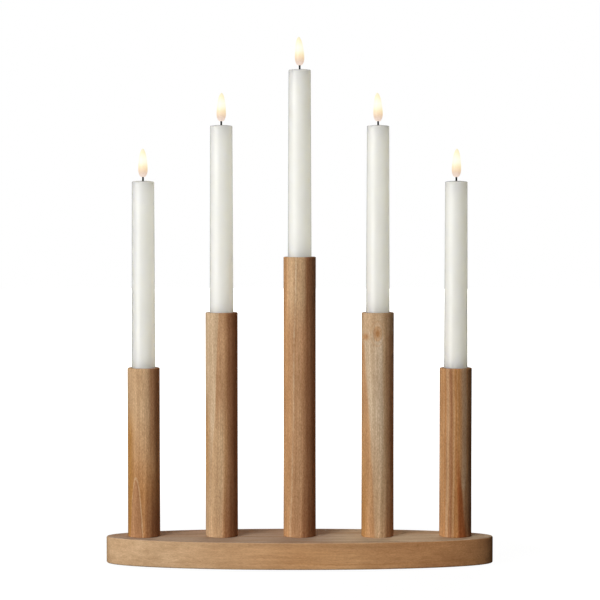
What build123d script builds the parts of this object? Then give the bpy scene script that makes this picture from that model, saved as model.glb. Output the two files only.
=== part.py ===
from build123d import *

import os
from math import cos, pi, radians, sin, sqrt

# Advent candle holder. An oval wooden base board carries five round wooden posts in a row that
# climbs to the middle. A battery candle stands in the socket at the top of each post.
# Millimetres. +Z is up, +X runs along the board, and the origin is on the table under its middle.
PLACES = ("left_outer", "left_inner", "centre", "right_inner", "right_outer")
MIDDLE = len(PLACES) // 2

# Felt pads under the board
PAD_DIAMETER = 16.0
PAD_THICKNESS = 2.0
PAD_END_DISTANCE = 75.0
PAD_EDGE_MARGIN = 14.0

# Oval base board, sized by the row of posts and the wood left round them
BASE_END_MARGIN = 35.0
BASE_SIDE_MARGIN = 30.0
BASE_THICKNESS = 25.0
BASE_EDGE_ROUND = 1.5

# Posts, turned from round stock and bored at the top
POST_SPACING = 72.5
POST_WALL = 3.65
SHORTEST_POST = 157.0
POST_STEP = 51.5
POST_EDGE_ROUND = 0.8
SOCKET_DEPTH = 25.0
SOCKET_CLEARANCE = 0.35
SOCKET_LEAD_IN = 0.5

# Countersunk wood screws, driven up through the board into the posts
SCREW_DIAMETER = 4.5
SCREW_LENGTH = 50.0
SCREW_HEAD_DIAMETER = 9.0
SCREW_HEAD_RIM = 0.4
SCREW_TIP = 5.0
SCREW_SUNK = 0.6
SCREW_CLEARANCE = 0.1
SCREW_DRIVE_SPAN = 5.0
SCREW_DRIVE_SLOT = 1.0
SCREW_DRIVE_DEPTH = 1.6

# AAA cells, two in line inside each candle
CELL_COUNT = 2
CELL_DIAMETER = 10.5
CELL_BODY = 43.3
CELL_NUB_DIAMETER = 3.8
CELL_NUB = 1.2
CELL_GAP = 0.05
CELL_RIB_CLEARANCE = 0.35
CELL_CAP_CLEARANCE = 0.95
CONTACT_GAP = 0.2

# End cap, a bayonet plug that closes the battery tube
CAP_HEIGHT = 8.0
CAP_FLOOR = 2.0
CAP_INSET = 0.2
CAP_SEAM = 0.2
CAP_FLUTES = 18
CAP_FLUTE_RADIUS = 0.5
CAP_TWIST = 30.0
COLLAR_WALL = 1.4
COLLAR_HEIGHT = 6.0
COLLAR_CLEARANCE = 0.2
LUG_ANGLE = 20.0
LUG_HEIGHT = 1.6
LUG_REACH = 0.9
LUG_RISE = 2.4
LUG_CLEARANCE = 0.2
LUG_PLAY_ANGLE = 1.5

# Slide switch in the floor of the end cap
SWITCH_TRAVEL = 3.0
SWITCH_STEM_LENGTH = 2.6
SWITCH_STEM_WIDTH = 2.8
SWITCH_LEDGE = 0.7
SWITCH_FLANGE = 1.3
SWITCH_CLEARANCE = 0.2
SWITCH_LIFT = 0.1
SWITCH_SUNK = 0.3

# Arched contact spring on the end cap's floor
SPRING_THICKNESS = 0.4
SPRING_WIDTH = 3.0
SPRING_SIDE_GAP = 0.6

# Plastic core tube
CORE_WALL = 1.7
CORE_END_WALL = 2.0
RIB_COUNT = 4
RIB_THICKNESS = 1.6

# Wax cast round the core, tapering from foot to top
CANDLE_VISIBLE = 173.4
WAX_AT_FOOT = 1.4
WAX_AT_TOP = 0.7
WAX_OVER_CORE = 3.0
WAX_DOME = 0.7
WAX_EDGE_ROUND = 0.8
WAX_GAP = 0.1

# Circuit board above the cells
BOARD_LENGTH = 26.0
BOARD_THICKNESS = 1.0
BOARD_FIT = 0.3
CONTACT_DISC_DIAMETER = 9.0
CONTACT_DISC = 0.8
CHIP_SIDE = 5.0
CHIP_THICKNESS = 1.2
RETURN_STRIP_WIDTH = 2.0
RETURN_STRIP_THICKNESS = 0.3
RETURN_STRIP_ANGLE = 45.0
RETURN_TAB_WIDTH = 1.0
RETURN_TAB_HEIGHT = 1.5

# Light-emitting diode on its twin lead, which runs up inside the wick
LED_DIAMETER = 3.2
LED_HEIGHT = 5.0
LEAD_DIAMETER = 0.7
LEAD_CLEARANCE = 0.2

# Wick sleeve and flame-shaped bulb
WICK_WALL = 0.3
WICK_VISIBLE = 3.5
WICK_TUCK = 3.0
WICK_CLEARANCE = 0.1
FLAME_HEIGHT = 26.2
FLAME_DIAMETER = 8.7
FLAME_BELLY = 0.27
FLAME_TAPER_POWER = 0.56
FLAME_LEAN = 0.9
FLAME_SECTIONS = 11
FLAME_POCKET_CLEARANCE = 0.1
FLAME_TURNS = (100.0, 70.0, 180.0, 140.0, 50.0)

# Radii of the candle, built outward from its cells
CELL_RADIUS = CELL_DIAMETER / 2
RIB_RADIUS = CELL_RADIUS + CELL_RIB_CLEARANCE
COLLAR_INNER = CELL_RADIUS + CELL_CAP_CLEARANCE
COLLAR_OUTER = COLLAR_INNER + COLLAR_WALL
CORE_INNER = COLLAR_OUTER + COLLAR_CLEARANCE
CORE_OUTER = CORE_INNER + CORE_WALL
WAX_INNER = CORE_OUTER + WAX_GAP
WAX_FOOT_RADIUS = WAX_INNER + WAX_AT_FOOT
WAX_TOP_RADIUS = WAX_INNER + WAX_AT_TOP
CAP_RADIUS = WAX_FOOT_RADIUS - CAP_INSET
WICK_BORE_RADIUS = LEAD_DIAMETER / 2 + LEAD_CLEARANCE
WICK_RADIUS = WICK_BORE_RADIUS + WICK_WALL
WICK_HOLE_RADIUS = WICK_RADIUS + WICK_CLEARANCE

# Radii and plan of the holder, built outward from the candle
SOCKET_RADIUS = WAX_FOOT_RADIUS + SOCKET_CLEARANCE
POST_RADIUS = SOCKET_RADIUS + POST_WALL
BASE_HALF_LENGTH = MIDDLE * POST_SPACING + BASE_END_MARGIN
BASE_HALF_DEPTH = POST_RADIUS + BASE_SIDE_MARGIN
SCREW_RADIUS = SCREW_DIAMETER / 2
SCREW_HOLE_RADIUS = SCREW_RADIUS + SCREW_CLEARANCE
SCREW_HEAD_RADIUS = SCREW_HEAD_DIAMETER / 2
SCREW_CONE = SCREW_HEAD_RADIUS - SCREW_RADIUS

# Heights of the holder above the table
BASE_BOTTOM = PAD_THICKNESS
BASE_TOP = BASE_BOTTOM + BASE_THICKNESS
SCREW_BOTTOM = BASE_BOTTOM + SCREW_SUNK

# Heights inside a candle, measured from the floor of its socket
CAP_POCKET = SWITCH_LIFT + SWITCH_FLANGE + SWITCH_CLEARANCE
CAP_INNER_FLOOR = CAP_FLOOR + CAP_POCKET
SPRING_RADIUS = COLLAR_INNER - SPRING_SIDE_GAP
CELL_BOTTOM = CAP_INNER_FLOOR + SPRING_RADIUS + CONTACT_GAP
CELL_PITCH = CELL_BODY + CELL_NUB + CELL_GAP
BOARD_BOTTOM = CELL_BOTTOM + CELL_COUNT * CELL_PITCH
BOARD_TOP = BOARD_BOTTOM + CONTACT_DISC + BOARD_LENGTH
CORE_BOTTOM = CAP_HEIGHT + CAP_SEAM
RIB_BOTTOM = CAP_HEIGHT + COLLAR_HEIGHT + COLLAR_CLEARANCE
WAX_TOP = SOCKET_DEPTH + CANDLE_VISIBLE
CORE_TOP = WAX_TOP - WAX_OVER_CORE - WAX_GAP
WICK_BOTTOM = CORE_TOP - CORE_END_WALL - WICK_TUCK
FLAME_FOOT = WAX_TOP + WICK_VISIBLE


def post_height(index):
    """The outer posts are the shortest, and each step towards the middle adds the same height."""
    return SHORTEST_POST + POST_STEP * (MIDDLE - abs(index - MIDDLE))


def post_x(index):
    return (index - MIDDLE) * POST_SPACING


def rod(radius, low, high):
    """An upright cylinder on the Z axis, between two heights."""
    return Pos(0, 0, low) * Cylinder(radius, high - low, align=(Align.CENTER, Align.CENTER, Align.MIN))


def tube(outer, inner, low, high):
    return rod(outer, low, high) - rod(inner, low, high)


def block(length, width, low, high):
    """An upright box centred on the Z axis, between two heights."""
    return Pos(0, 0, low) * Box(length, width, high - low, align=(Align.CENTER, Align.CENTER, Align.MIN))


def ring_sector(inner, outer, low, high, start, end):
    """Part of a ring between two angles, in degrees about +Z."""
    outline = Polyline((inner, 0, low), (outer, 0, low), (outer, 0, high), (inner, 0, high), close=True)
    return Rot(0, 0, start) * revolve(make_face(outline), Axis.Z, end - start)


def rim(shape, radius, height):
    """The round edges of a shape at one radius and one height."""
    return shape.edges().filter_by(GeomType.CIRCLE).filter_by(
        lambda edge: abs(edge.radius - radius) < 1e-4 and abs(edge.center().Z - height) < 1e-4
    )


def screw_outline(grown):
    """Turned outline of a screw from head to tip, grown on all sides for its hole in the board."""
    head, shank = SCREW_HEAD_RADIUS + grown, SCREW_RADIUS + grown
    rim_top = SCREW_BOTTOM + SCREW_HEAD_RIM
    tip = SCREW_BOTTOM + SCREW_LENGTH
    return make_face(
        Polyline(
            (0, 0, SCREW_BOTTOM),
            (head, 0, SCREW_BOTTOM),
            (head, 0, rim_top),
            (shank, 0, rim_top + SCREW_CONE),
            (shank, 0, tip - SCREW_TIP),
            (0, 0, tip),
            close=True,
        )
    )


def felt_pads():
    """Four discs glued under the board, each set in from its oval edge."""
    pad_x = BASE_HALF_LENGTH - PAD_END_DISTANCE
    edge_y = BASE_HALF_DEPTH * sqrt(1 - (pad_x / BASE_HALF_LENGTH) ** 2)
    pad_y = edge_y - PAD_EDGE_MARGIN - PAD_DIAMETER / 2
    pad = rod(PAD_DIAMETER / 2, 0, PAD_THICKNESS)
    return Compound(children=[Pos(x, y, 0) * pad for x in (-pad_x, pad_x) for y in (-pad_y, pad_y)])


def base_board():
    """Oval board with rounded edges and a countersunk hole under each post."""
    board = Pos(0, 0, BASE_BOTTOM) * extrude(Ellipse(BASE_HALF_LENGTH, BASE_HALF_DEPTH), BASE_THICKNESS)
    faces = board.faces().sort_by(Axis.Z)
    board = fillet(faces[0].edges() + faces[-1].edges(), BASE_EDGE_ROUND)
    hole = revolve(screw_outline(SCREW_CLEARANCE), Axis.Z)
    sink = rod(SCREW_HEAD_RADIUS + SCREW_CLEARANCE, 0, SCREW_BOTTOM)
    shaft = rod(SCREW_HOLE_RADIUS, SCREW_BOTTOM, BASE_TOP)
    for index in range(len(PLACES)):
        board -= Pos(post_x(index), 0, 0) * (hole + sink + shaft)
    return board


def post(index):
    """Round post with a blind candle socket in its top and a pilot hole in its foot."""
    top = BASE_TOP + post_height(index)
    body = fillet(rim(rod(POST_RADIUS, BASE_TOP, top), POST_RADIUS, top), POST_EDGE_ROUND)
    body -= rod(SOCKET_RADIUS, top - SOCKET_DEPTH, top)
    body = chamfer(rim(body, SOCKET_RADIUS, top), SOCKET_LEAD_IN)
    body -= rod(SCREW_HOLE_RADIUS, BASE_TOP, SCREW_BOTTOM + SCREW_LENGTH + SCREW_CLEARANCE)
    return Pos(post_x(index), 0, 0) * body


def post_screws():
    """One countersunk screw under each post, with a cross recess in its head."""
    screw = revolve(screw_outline(0), Axis.Z)
    drive_top = SCREW_BOTTOM + SCREW_DRIVE_DEPTH
    for length, width in ((SCREW_DRIVE_SPAN, SCREW_DRIVE_SLOT), (SCREW_DRIVE_SLOT, SCREW_DRIVE_SPAN)):
        screw -= block(length, width, SCREW_BOTTOM, drive_top)
    return Compound(children=[Pos(post_x(index), 0, 0) * screw for index in range(len(PLACES))])


def wax():
    """Tapered wax shell with a rounded top edge and a low dome round the wick."""
    shoulder = WAX_TOP - WAX_DOME
    dome_middle = WAX_TOP_RADIUS / 2
    side = Polyline(
        (WICK_HOLE_RADIUS, 0, WAX_TOP),
        (WICK_HOLE_RADIUS, 0, CORE_TOP + WAX_GAP),
        (WAX_INNER, 0, CORE_TOP + WAX_GAP),
        (WAX_INNER, 0, CORE_BOTTOM),
        (WAX_FOOT_RADIUS, 0, CORE_BOTTOM),
        (WAX_TOP_RADIUS, 0, shoulder),
    )
    dome = ThreePointArc(
        (WAX_TOP_RADIUS, 0, shoulder),
        (dome_middle, 0, WAX_TOP - WAX_DOME * (dome_middle / WAX_TOP_RADIUS) ** 2),
        (WICK_HOLE_RADIUS, 0, WAX_TOP),
    )
    shell = revolve(make_face([side, dome]), Axis.Z)
    return fillet(rim(shell, WAX_TOP_RADIUS, shoulder), WAX_EDGE_ROUND)


def core():
    """Moulded tube with ribs that centre the cells, a closed top, and bayonet slots at its foot."""
    shell = rod(CORE_OUTER, CORE_BOTTOM, CORE_TOP) - rod(CORE_INNER, CORE_BOTTOM, CORE_TOP - CORE_END_WALL)
    rib_length = CORE_INNER - RIB_RADIUS + CORE_WALL / 2
    rib = Pos(RIB_RADIUS + rib_length / 2, 0, 0) * block(
        rib_length, RIB_THICKNESS, RIB_BOTTOM, CORE_TOP - CORE_END_WALL
    )
    for turn in range(RIB_COUNT):
        shell += Rot(0, 0, turn * 360 / RIB_COUNT) * rib
    shell -= rod(WICK_HOLE_RADIUS, CORE_TOP - CORE_END_WALL, CORE_TOP)
    slot_depth = COLLAR_OUTER + LUG_REACH + LUG_CLEARANCE
    half = LUG_ANGLE / 2 + LUG_PLAY_ANGLE
    low = CAP_HEIGHT + LUG_RISE - LUG_CLEARANCE
    high = CAP_HEIGHT + LUG_RISE + LUG_HEIGHT + LUG_CLEARANCE
    run = ring_sector(COLLAR_OUTER, slot_depth, low, high, -half, CAP_TWIST + half)
    entry = ring_sector(COLLAR_OUTER, slot_depth, CORE_BOTTOM, high, CAP_TWIST - half, CAP_TWIST + half)
    for turn in (0, 180):
        shell -= Rot(0, 0, turn) * (run + entry)
    return shell


def end_cap():
    """Fluted plug with a collar, two bayonet lugs, and a slot and pocket for the slide switch."""
    plug = rod(CAP_RADIUS, 0, CAP_HEIGHT) + rod(COLLAR_OUTER, CAP_HEIGHT, CAP_HEIGHT + COLLAR_HEIGHT)
    plug -= rod(COLLAR_INNER, CAP_INNER_FLOOR, CAP_HEIGHT + COLLAR_HEIGHT)
    lug_low = CAP_HEIGHT + LUG_RISE
    lug = ring_sector(
        COLLAR_OUTER - COLLAR_WALL / 2,
        COLLAR_OUTER + LUG_REACH,
        lug_low,
        lug_low + LUG_HEIGHT,
        -LUG_ANGLE / 2,
        LUG_ANGLE / 2,
    )
    for turn in (0, 180):
        plug += Rot(0, 0, turn) * lug
    flute = Pos(CAP_RADIUS, 0, 0) * rod(CAP_FLUTE_RADIUS, 0, CAP_HEIGHT)
    for turn in range(CAP_FLUTES):
        plug -= Rot(0, 0, turn * 360 / CAP_FLUTES) * flute
    spare = SWITCH_TRAVEL + 2 * SWITCH_CLEARANCE
    slot_width = SWITCH_STEM_WIDTH + 2 * SWITCH_CLEARANCE
    plug -= block(SWITCH_STEM_LENGTH + spare, slot_width, 0, CAP_FLOOR)
    plug -= block(
        SWITCH_STEM_LENGTH + 2 * SWITCH_LEDGE + spare,
        slot_width + 2 * SWITCH_LEDGE,
        CAP_FLOOR,
        CAP_INNER_FLOOR,
    )
    return plug


def switch_knob():
    """Slider whose stem stands in the cap's slot and whose flange rides on the cap's floor."""
    seat = CAP_FLOOR + SWITCH_LIFT
    flange = block(
        SWITCH_STEM_LENGTH + 2 * SWITCH_LEDGE, SWITCH_STEM_WIDTH + 2 * SWITCH_LEDGE, seat, seat + SWITCH_FLANGE
    )
    stem = block(SWITCH_STEM_LENGTH, SWITCH_STEM_WIDTH, SWITCH_SUNK, seat)
    return Pos(-SWITCH_TRAVEL / 2, 0, 0) * (flange + stem)


def contact_spring():
    """Bent strip that stands over the switch and presses on the lower cell."""
    strip = Circle(SPRING_RADIUS) - Circle(SPRING_RADIUS - SPRING_THICKNESS)
    strip -= Pos(0, -SPRING_RADIUS) * Rectangle(2 * SPRING_RADIUS, 2 * SPRING_RADIUS)
    arch = extrude(Plane.XZ * strip, SPRING_WIDTH / 2, both=True)
    return Pos(0, 0, CAP_INNER_FLOOR) * arch


def cells():
    """Two AAA cells in line, positive ends up."""
    low = CELL_BOTTOM
    stack = []
    for _ in range(CELL_COUNT):
        stack.append(
            rod(CELL_RADIUS, low, low + CELL_BODY)
            + rod(CELL_NUB_DIAMETER / 2, low + CELL_BODY, low + CELL_BODY + CELL_NUB)
        )
        low += CELL_PITCH
    return Compound(children=stack)


def circuit_board():
    """Narrow board held between two ribs, with its chip and the contact disc for the upper cell.
    A soldered strip runs down beside the cells, to meet the end cap's contact."""
    plate_low = BOARD_BOTTOM + CONTACT_DISC
    disc = rod(CONTACT_DISC_DIAMETER / 2, BOARD_BOTTOM, plate_low)
    plate = block(2 * (RIB_RADIUS - BOARD_FIT), BOARD_THICKNESS, plate_low, BOARD_TOP)
    chip_low = (plate_low + BOARD_TOP - CHIP_SIDE) / 2
    chip_y = -(BOARD_THICKNESS + CHIP_THICKNESS) / 2
    chip = Pos(0, chip_y, 0) * block(CHIP_SIDE, CHIP_THICKNESS, chip_low, chip_low + CHIP_SIDE)
    strip_radius = (RIB_RADIUS + CORE_INNER) / 2
    strip_top = plate_low + RETURN_TAB_HEIGHT
    strip = block(RETURN_STRIP_THICKNESS, RETURN_STRIP_WIDTH, RIB_BOTTOM, strip_top)
    strip = Rot(0, 0, RETURN_STRIP_ANGLE) * Pos(strip_radius, 0, 0) * strip
    reach_x = strip_radius * cos(radians(RETURN_STRIP_ANGLE))
    reach_y = strip_radius * sin(radians(RETURN_STRIP_ANGLE))
    tab = Pos(reach_x, reach_y / 2, 0) * block(RETURN_TAB_WIDTH, reach_y, plate_low, strip_top)
    return disc + plate + chip + strip + tab


def led():
    """Domed diode on the lead that comes up from the board through the wick."""
    dome_low = FLAME_FOOT + LED_HEIGHT - LED_DIAMETER / 2
    bulb = rod(LED_DIAMETER / 2, FLAME_FOOT, dome_low) + Pos(0, 0, dome_low) * Sphere(LED_DIAMETER / 2)
    return bulb + rod(LEAD_DIAMETER / 2, BOARD_TOP, FLAME_FOOT)


def wick():
    """Sleeve round the lead, from inside the core's end wall to the foot of the flame."""
    return tube(WICK_RADIUS, WICK_BORE_RADIUS, WICK_BOTTOM, FLAME_FOOT)


def flame_radius(share):
    """Flame radius at a share of its height: round below its belly, drawn out to a tip above it."""
    if share < FLAME_BELLY:
        return FLAME_DIAMETER / 2 * sqrt(1 - (1 - share / FLAME_BELLY) ** 2)
    above = (share - FLAME_BELLY) / (1 - FLAME_BELLY)
    return FLAME_DIAMETER / 2 * (1 - above**2) ** FLAME_TAPER_POWER


def flame():
    """Frosted flame-shaped bulb that leans a little towards +X, hollowed at its foot for the diode."""
    pocket = LED_DIAMETER / 2 + FLAME_POCKET_CLEARANCE
    first = FLAME_BELLY * (1 - sqrt(1 - (2 * (pocket + WICK_WALL) / FLAME_DIAMETER) ** 2))
    sections = []
    for step in range(FLAME_SECTIONS):
        progress = sin(step / FLAME_SECTIONS * pi / 2)
        share = first + (1 - first) * progress
        place = Pos(FLAME_LEAN * share**2, 0, FLAME_FOOT + FLAME_HEIGHT * progress)
        sections.append(place * Circle(flame_radius(share)))
    tip = Vertex(FLAME_LEAN, 0, FLAME_FOOT + FLAME_HEIGHT)
    hollow = rod(pocket, FLAME_FOOT, FLAME_FOOT + LED_HEIGHT + FLAME_POCKET_CLEARANCE)
    return loft([*sections, tip]) - hollow


def write(shape, name):
    export_step(shape, os.path.join("parts", name + ".step"))


os.makedirs("parts", exist_ok=True)
write(felt_pads(), "felt_pads")
write(base_board(), "base_board")
write(post_screws(), "post_screws")
CANDLE_PIECES = {
    "wax": wax(),
    "core": core(),
    "batteries": cells(),
    "circuit_board": circuit_board(),
    "led": led(),
    "wick": wick(),
    "end_cap": end_cap(),
    "contact_spring": contact_spring(),
    "switch_knob": switch_knob(),
}
FLAME = flame()
for index, place in enumerate(PLACES):
    write(post(index), place + "_post")
    seat = Pos(post_x(index), 0, BASE_TOP + post_height(index) - SOCKET_DEPTH)
    for piece, shape in CANDLE_PIECES.items():
        write(seat * shape, f"{place}_candle_{piece}")
    write(seat * Rot(0, 0, FLAME_TURNS[index]) * FLAME, f"{place}_candle_flame")
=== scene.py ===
import math

import bmesh
import bpy
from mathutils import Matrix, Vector


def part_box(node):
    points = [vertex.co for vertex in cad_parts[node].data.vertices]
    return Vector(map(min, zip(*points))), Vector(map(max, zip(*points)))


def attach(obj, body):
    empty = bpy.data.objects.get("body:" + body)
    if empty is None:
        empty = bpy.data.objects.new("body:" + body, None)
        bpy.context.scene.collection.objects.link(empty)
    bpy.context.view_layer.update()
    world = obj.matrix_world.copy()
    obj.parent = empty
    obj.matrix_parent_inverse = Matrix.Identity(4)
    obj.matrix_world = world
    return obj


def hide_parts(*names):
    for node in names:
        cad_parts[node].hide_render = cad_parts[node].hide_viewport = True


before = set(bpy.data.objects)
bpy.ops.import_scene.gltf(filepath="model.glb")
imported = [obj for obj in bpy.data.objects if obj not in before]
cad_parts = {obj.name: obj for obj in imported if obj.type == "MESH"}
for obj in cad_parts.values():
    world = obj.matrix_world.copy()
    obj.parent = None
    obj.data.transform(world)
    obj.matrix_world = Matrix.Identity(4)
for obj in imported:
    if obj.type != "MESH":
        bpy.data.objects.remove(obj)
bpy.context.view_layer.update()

# Base board: an oval plank of oiled hardwood with its fibres along its length, sanded, with eased edges.
# Five countersunk holes come through it from below, one for the screw of each post.
MM = 0.001
PLACES = ("left_outer", "left_inner", "centre", "right_inner", "right_outer")
BOARD_LOW, BOARD_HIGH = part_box("base_board")
BOARD_HALF_LENGTH = BOARD_HIGH[0]
BOARD_HALF_DEPTH = BOARD_HIGH[1]
BOARD_EDGE_ROUND = 1.5 * MM
BOARD_FLAT_MARGIN = 0.6 * MM
BOARD_POINTS = 288
HOLE_HEAD_RADIUS = 4.6 * MM
HOLE_SHANK_RADIUS = 2.35 * MM
HOLE_RIM_DEPTH = 1.0 * MM
HOLE_POINTS = 32
EDGE_STEPS = 7
SHARP_EDGE = math.radians(30)

BLOND = (0.681, 0.516, 0.341, 1)
STRAW = (0.643, 0.423, 0.243, 1)
CARAMEL = (0.632, 0.341, 0.156, 1)
HONEY = (0.555, 0.302, 0.141, 1)
CHESTNUT = (0.54, 0.258, 0.107, 1)
# Painted shade and painted sheen for the board's top: a darker, greyer wood tone.
PAINTED_TOP_SHADE_AND_SHEEN = (0.508, 0.373, 0.27, 1)
AMBER = (0.486, 0.224, 0.079, 1)
BROWN = (0.468, 0.239, 0.116, 1)
WALNUT = (0.263, 0.112, 0.048, 1)


def quarter_round(size):
    """Steps from a flat face round an eased edge to the side: how far in, and how far from the face."""
    turns = [math.pi / 2 * step / EDGE_STEPS for step in range(EDGE_STEPS + 1)]
    return [(size * (1 - math.sin(turn)), size * (1 - math.cos(turn))) for turn in turns]


def oval_ring(inset, height):
    """Points round the board's oval, set in from its edge square to it."""
    ring = []
    for step in range(BOARD_POINTS):
        turn = 2 * math.pi * step / BOARD_POINTS
        edge = Vector((BOARD_HALF_LENGTH * math.cos(turn), BOARD_HALF_DEPTH * math.sin(turn), height))
        outward = Vector((math.cos(turn) / BOARD_HALF_LENGTH, math.sin(turn) / BOARD_HALF_DEPTH, 0))
        ring.append(edge - inset * outward.normalized())
    return ring


def round_ring(x, radius, height, points):
    """Points round an upright axis that stands on the board's long axis."""
    turns = [2 * math.pi * step / points for step in range(points)]
    return [Vector((x + radius * math.cos(turn), radius * math.sin(turn), height)) for turn in turns]


def skin(mesh, rings):
    """Rows of four-sided faces between rings of points. Returns the first and the last ring's edges."""
    rows = [[mesh.verts.new(spot) for spot in ring] for ring in rings]
    for low, high in zip(rows[:-1], rows[1:]):
        for here in range(len(low)):
            after = (here + 1) % len(low)
            mesh.faces.new((low[here], low[after], high[after], high[here]))
    ends = []
    for row in (rows[0], rows[-1]):
        ends.append([mesh.edges.get((row[here - 1], row[here])) for here in range(len(row))])
    return ends


def piece_from(mesh, name):
    """Turns a bmesh into a smooth-shaded object with its hard edges kept."""
    bmesh.ops.recalc_face_normals(mesh, faces=mesh.faces)
    data = bpy.data.meshes.new(name)
    mesh.to_mesh(data)
    mesh.free()
    data.shade_smooth()
    data.set_sharp_from_angle(angle=SHARP_EDGE)
    piece = bpy.data.objects.new(name, data)
    bpy.context.collection.objects.link(piece)
    return piece


post_spots = {}
for place in PLACES:
    low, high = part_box(f"{place}_post")
    post_spots[place] = (low[0] + high[0]) / 2

board = bmesh.new()
edge = quarter_round(BOARD_EDGE_ROUND)
flat_inset = BOARD_EDGE_ROUND + BOARD_FLAT_MARGIN
rings = [oval_ring(flat_inset, BOARD_LOW[2])]
rings += [oval_ring(inset, BOARD_LOW[2] + rise) for inset, rise in edge]
rings += [oval_ring(inset, BOARD_HIGH[2] - rise) for inset, rise in reversed(edge)]
rings.append(oval_ring(flat_inset, BOARD_HIGH[2]))
under_edges, top_edges = skin(board, rings)
hole_rim = BOARD_LOW[2] + HOLE_RIM_DEPTH
hole_cone = HOLE_HEAD_RADIUS - HOLE_SHANK_RADIUS
for x in post_spots.values():
    hole = [
        round_ring(x, HOLE_HEAD_RADIUS, BOARD_LOW[2], HOLE_POINTS),
        round_ring(x, HOLE_HEAD_RADIUS, hole_rim, HOLE_POINTS),
        round_ring(x, HOLE_SHANK_RADIUS, hole_rim + hole_cone, HOLE_POINTS),
        round_ring(x, HOLE_SHANK_RADIUS, BOARD_HIGH[2], HOLE_POINTS),
    ]
    hole_under, hole_top = skin(board, hole)
    under_edges += hole_under
    top_edges += hole_top
for edges in (under_edges, top_edges):
    bmesh.ops.triangle_fill(board, use_beauty=True, use_dissolve=False, edges=edges)

# The wood's texture. Scales are in cycles per millimetre, two across the fibres and one along them.
DRIFT_SCALE = (0.03, 0.03, 0.012)
CLOUD_SCALE = (0.07, 0.07, 0.018)
STREAK_SCALE = (0.30, 0.26, 0.006)
TOP_STREAK_SCALE = (0.25, 0.16, 0.003)
FIBRE_SCALE = (0.75, 0.75, 0.02)
FLECK_SCALE = (1.3, 1.3, 0.5)
PORE_SCALE = (3.2, 3.2, 0.16)
CLOUDS = 0.10
PORE_EDGE = (0.57, 0.66)
PORES = 0.5
PORE_TINT = (0.70, 0.60, 0.52, 1)
END_GRAIN_EDGE = (0.75, 0.98)
END_GRAIN_TINT = (0.80, 0.76, 0.72, 1)
WOOD_ROUGHNESS = (0.60, 0.76)
WOOD_GLOSS = 0.1
RELIEF_STRENGTH = 0.45
RELIEF_DEPTH = 0.2 * MM
NOISE_LOW = 0.3
NOISE_HIGH = 0.7
MOTTLE_LEAN = (1.0, 1.25, 1.5)


def shader_node(tree, kind, inputs=None, **options):
    """Adds a node, sets its options, and fills its sockets from values or from other nodes' sockets."""
    made = tree.nodes.new(kind)
    for name, value in options.items():
        setattr(made, name, value)
    for key, value in (inputs or {}).items():
        if isinstance(value, bpy.types.NodeSocket):
            tree.links.new(value, made.inputs[key])
        else:
            made.inputs[key].default_value = value
    return made


def new_material(name):
    """A material with its node tree and its shader."""
    material = bpy.data.materials.new(name)
    material.use_nodes = True
    return material, material.node_tree, material.node_tree.nodes["Principled BSDF"]


def worked_out(tree, operation, *values):
    """One step of arithmetic between sockets and numbers."""
    inputs = dict(enumerate(values))
    return shader_node(tree, "ShaderNodeMath", inputs, operation=operation).outputs[0]


def vectors(tree, operation, first, second):
    """One step of arithmetic between vectors."""
    inputs = {0: first, 1: second}
    return shader_node(tree, "ShaderNodeVectorMath", inputs, operation=operation).outputs["Vector"]


def split(tree, vector):
    """A vector's three parts."""
    return shader_node(tree, "ShaderNodeSeparateXYZ", {"Vector": vector}).outputs


def coordinates(tree, kind):
    """Where a point lies in the frame (Object) or in its piece's box (Generated), or its facing (Normal)."""
    return shader_node(tree, "ShaderNodeTexCoord").outputs[kind]


def in_millimetres(tree, origin=(0, 0, 0)):
    """Millimetres from an origin in the holder's own frame."""
    shift = tuple(-value / MM for value in origin)
    inputs = {"Vector": coordinates(tree, "Object"), "Location": shift, "Scale": (1 / MM,) * 3}
    return shader_node(tree, "ShaderNodeMapping", inputs).outputs[0]


def turned_fibres(tree, vector, along_x):
    """The same vector with the fibres along its third axis."""
    if not along_x:
        return vector
    x, y, z = split(tree, vector)
    return shader_node(tree, "ShaderNodeCombineXYZ", {"X": z, "Y": y, "Z": x}).outputs[0]


def stretched_noise(tree, spot, scale, detail, output="Fac"):
    """Noise drawn out along one axis, as wood fibres are. Scale is in cycles per millimetre on each axis."""
    mapped = shader_node(tree, "ShaderNodeMapping", {"Vector": spot, "Scale": scale}, vector_type="POINT")
    inputs = {"Vector": mapped.outputs["Vector"], "Scale": 1.0, "Detail": detail}
    return shader_node(tree, "ShaderNodeTexNoise", inputs).outputs[output]


def rescaled(tree, value, low, high, new_low, new_high):
    """A value moved from one range to another and held there."""
    inputs = {"Value": value, "From Min": low, "From Max": high, "To Min": new_low, "To Max": new_high}
    return shader_node(tree, "ShaderNodeMapRange", inputs).outputs["Result"]


def rising(tree, value, start, end):
    """A mask that opens as a value goes from a start to an end."""
    return rescaled(tree, value, start, end, 0.0, 1.0)


def falling(tree, value, start, end):
    """A mask that closes as a value goes from a start to an end."""
    return rescaled(tree, value, start, end, 1.0, 0.0)


def near(tree, value, middle, half_width, fade):
    """A mask that is open within half a width of a middle value, and closes over the fade."""
    distance = worked_out(tree, "ABSOLUTE", worked_out(tree, "SUBTRACT", value, middle))
    return falling(tree, distance, half_width, half_width + fade)


def ramp(tree, share, stops, interpolation="LINEAR"):
    """Colours or greys placed along a share from 0 to 1."""
    made = shader_node(tree, "ShaderNodeValToRGB", {"Fac": share})
    made.color_ramp.interpolation = interpolation
    elements = made.color_ramp.elements
    while len(elements) < len(stops):
        elements.new(1.0)
    for element, (position, colour) in zip(elements, stops):
        element.position = position
        element.color = colour if isinstance(colour, tuple) else (colour, colour, colour, 1)
    return made.outputs["Color"]


def blended(tree, share, first, second, blend="MIX"):
    """One colour laid over another."""
    inputs = {0: share, 6: first, 7: second}
    mix = shader_node(tree, "ShaderNodeMix", inputs, data_type="RGBA", blend_type=blend)
    return mix.outputs[2]


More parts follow.
